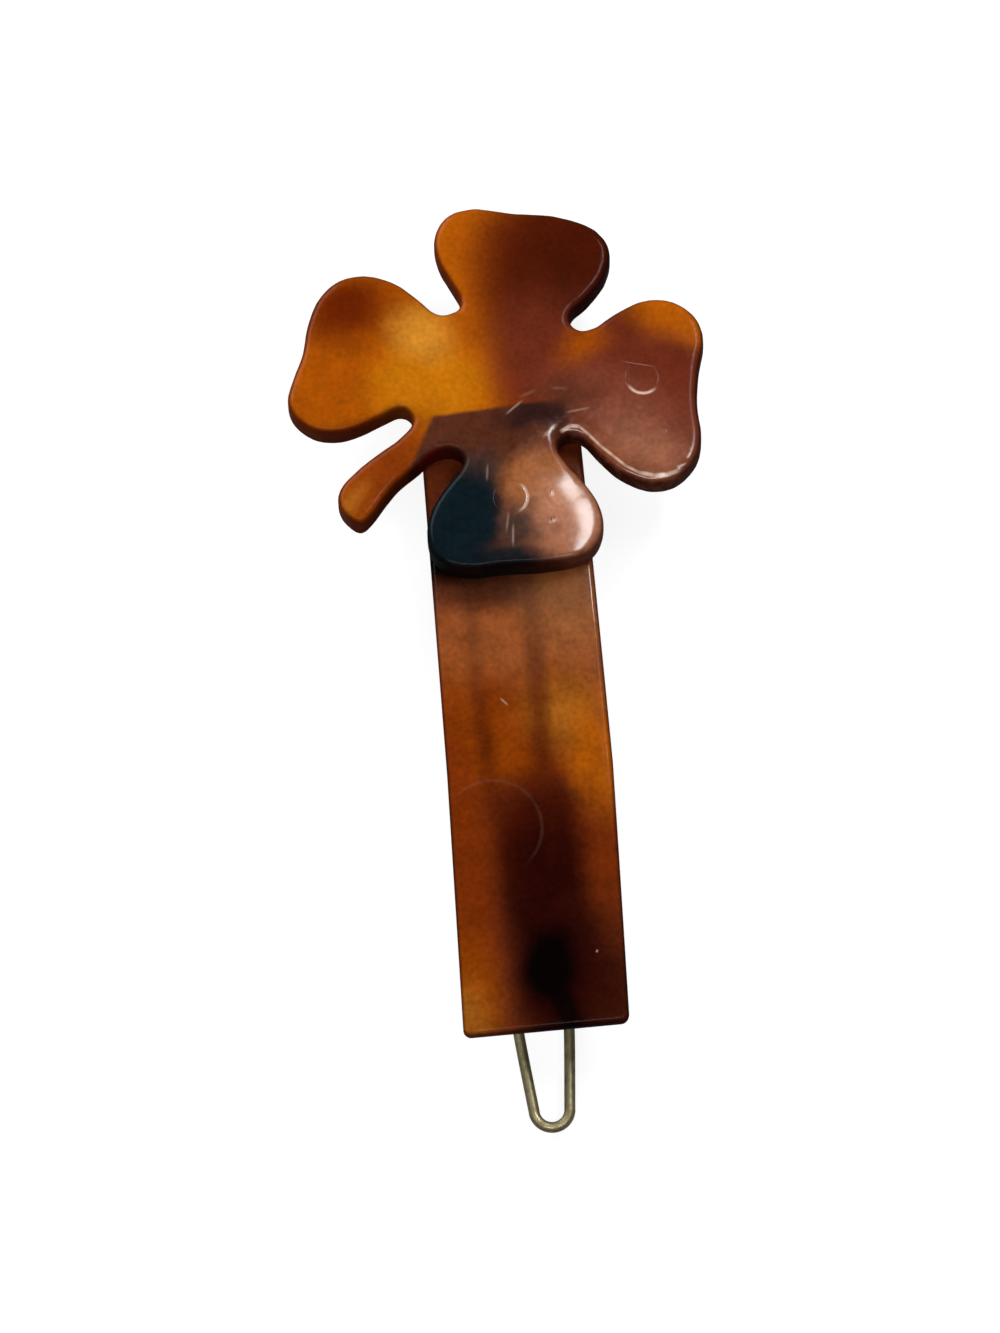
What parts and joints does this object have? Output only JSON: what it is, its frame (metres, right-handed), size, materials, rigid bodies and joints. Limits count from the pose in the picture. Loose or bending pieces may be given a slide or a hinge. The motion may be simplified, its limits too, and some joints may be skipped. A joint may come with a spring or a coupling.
{
  "type": "hair clip",
  "caption": "Tortoiseshell hair clip: a thick clover plate on a bowed bar, with a hinged spring wire bail that closes on a catch behind it.",
  "frame": {"origin": "on the plane that the clip rests on, below the middle of its bounding box", "axes": "+Z out of the front of the clip, +Y along its length towards the clover, +X to the right as the front is seen with the clover up"},
  "size_m": [0.0342, 0.0768, 0.0107],
  "materials": {
    "amber_tortoiseshell": "polished",
    "brown_tortoiseshell": "polished",
    "brown_block": "satin",
    "dark_catch": "satin",
    "aged_brass": "aged"
  },
  "bodies": {
    "body": {"clover_plate": "amber_tortoiseshell", "bar": "brown_tortoiseshell", "hinge_block": "brown_block", "catch_post": "dark_catch"},
    "bail": {"wire_bail": "aged_brass"}
  },
  "joints": [
    {"name": "bail_swing", "type": "hinge", "parent": "body", "child": "bail", "pos_m": [-0.00101, 0.01188, 0.0015], "axis": [0.9996, 0.0279, 0], "range_deg": [0, 180]}
  ]
}
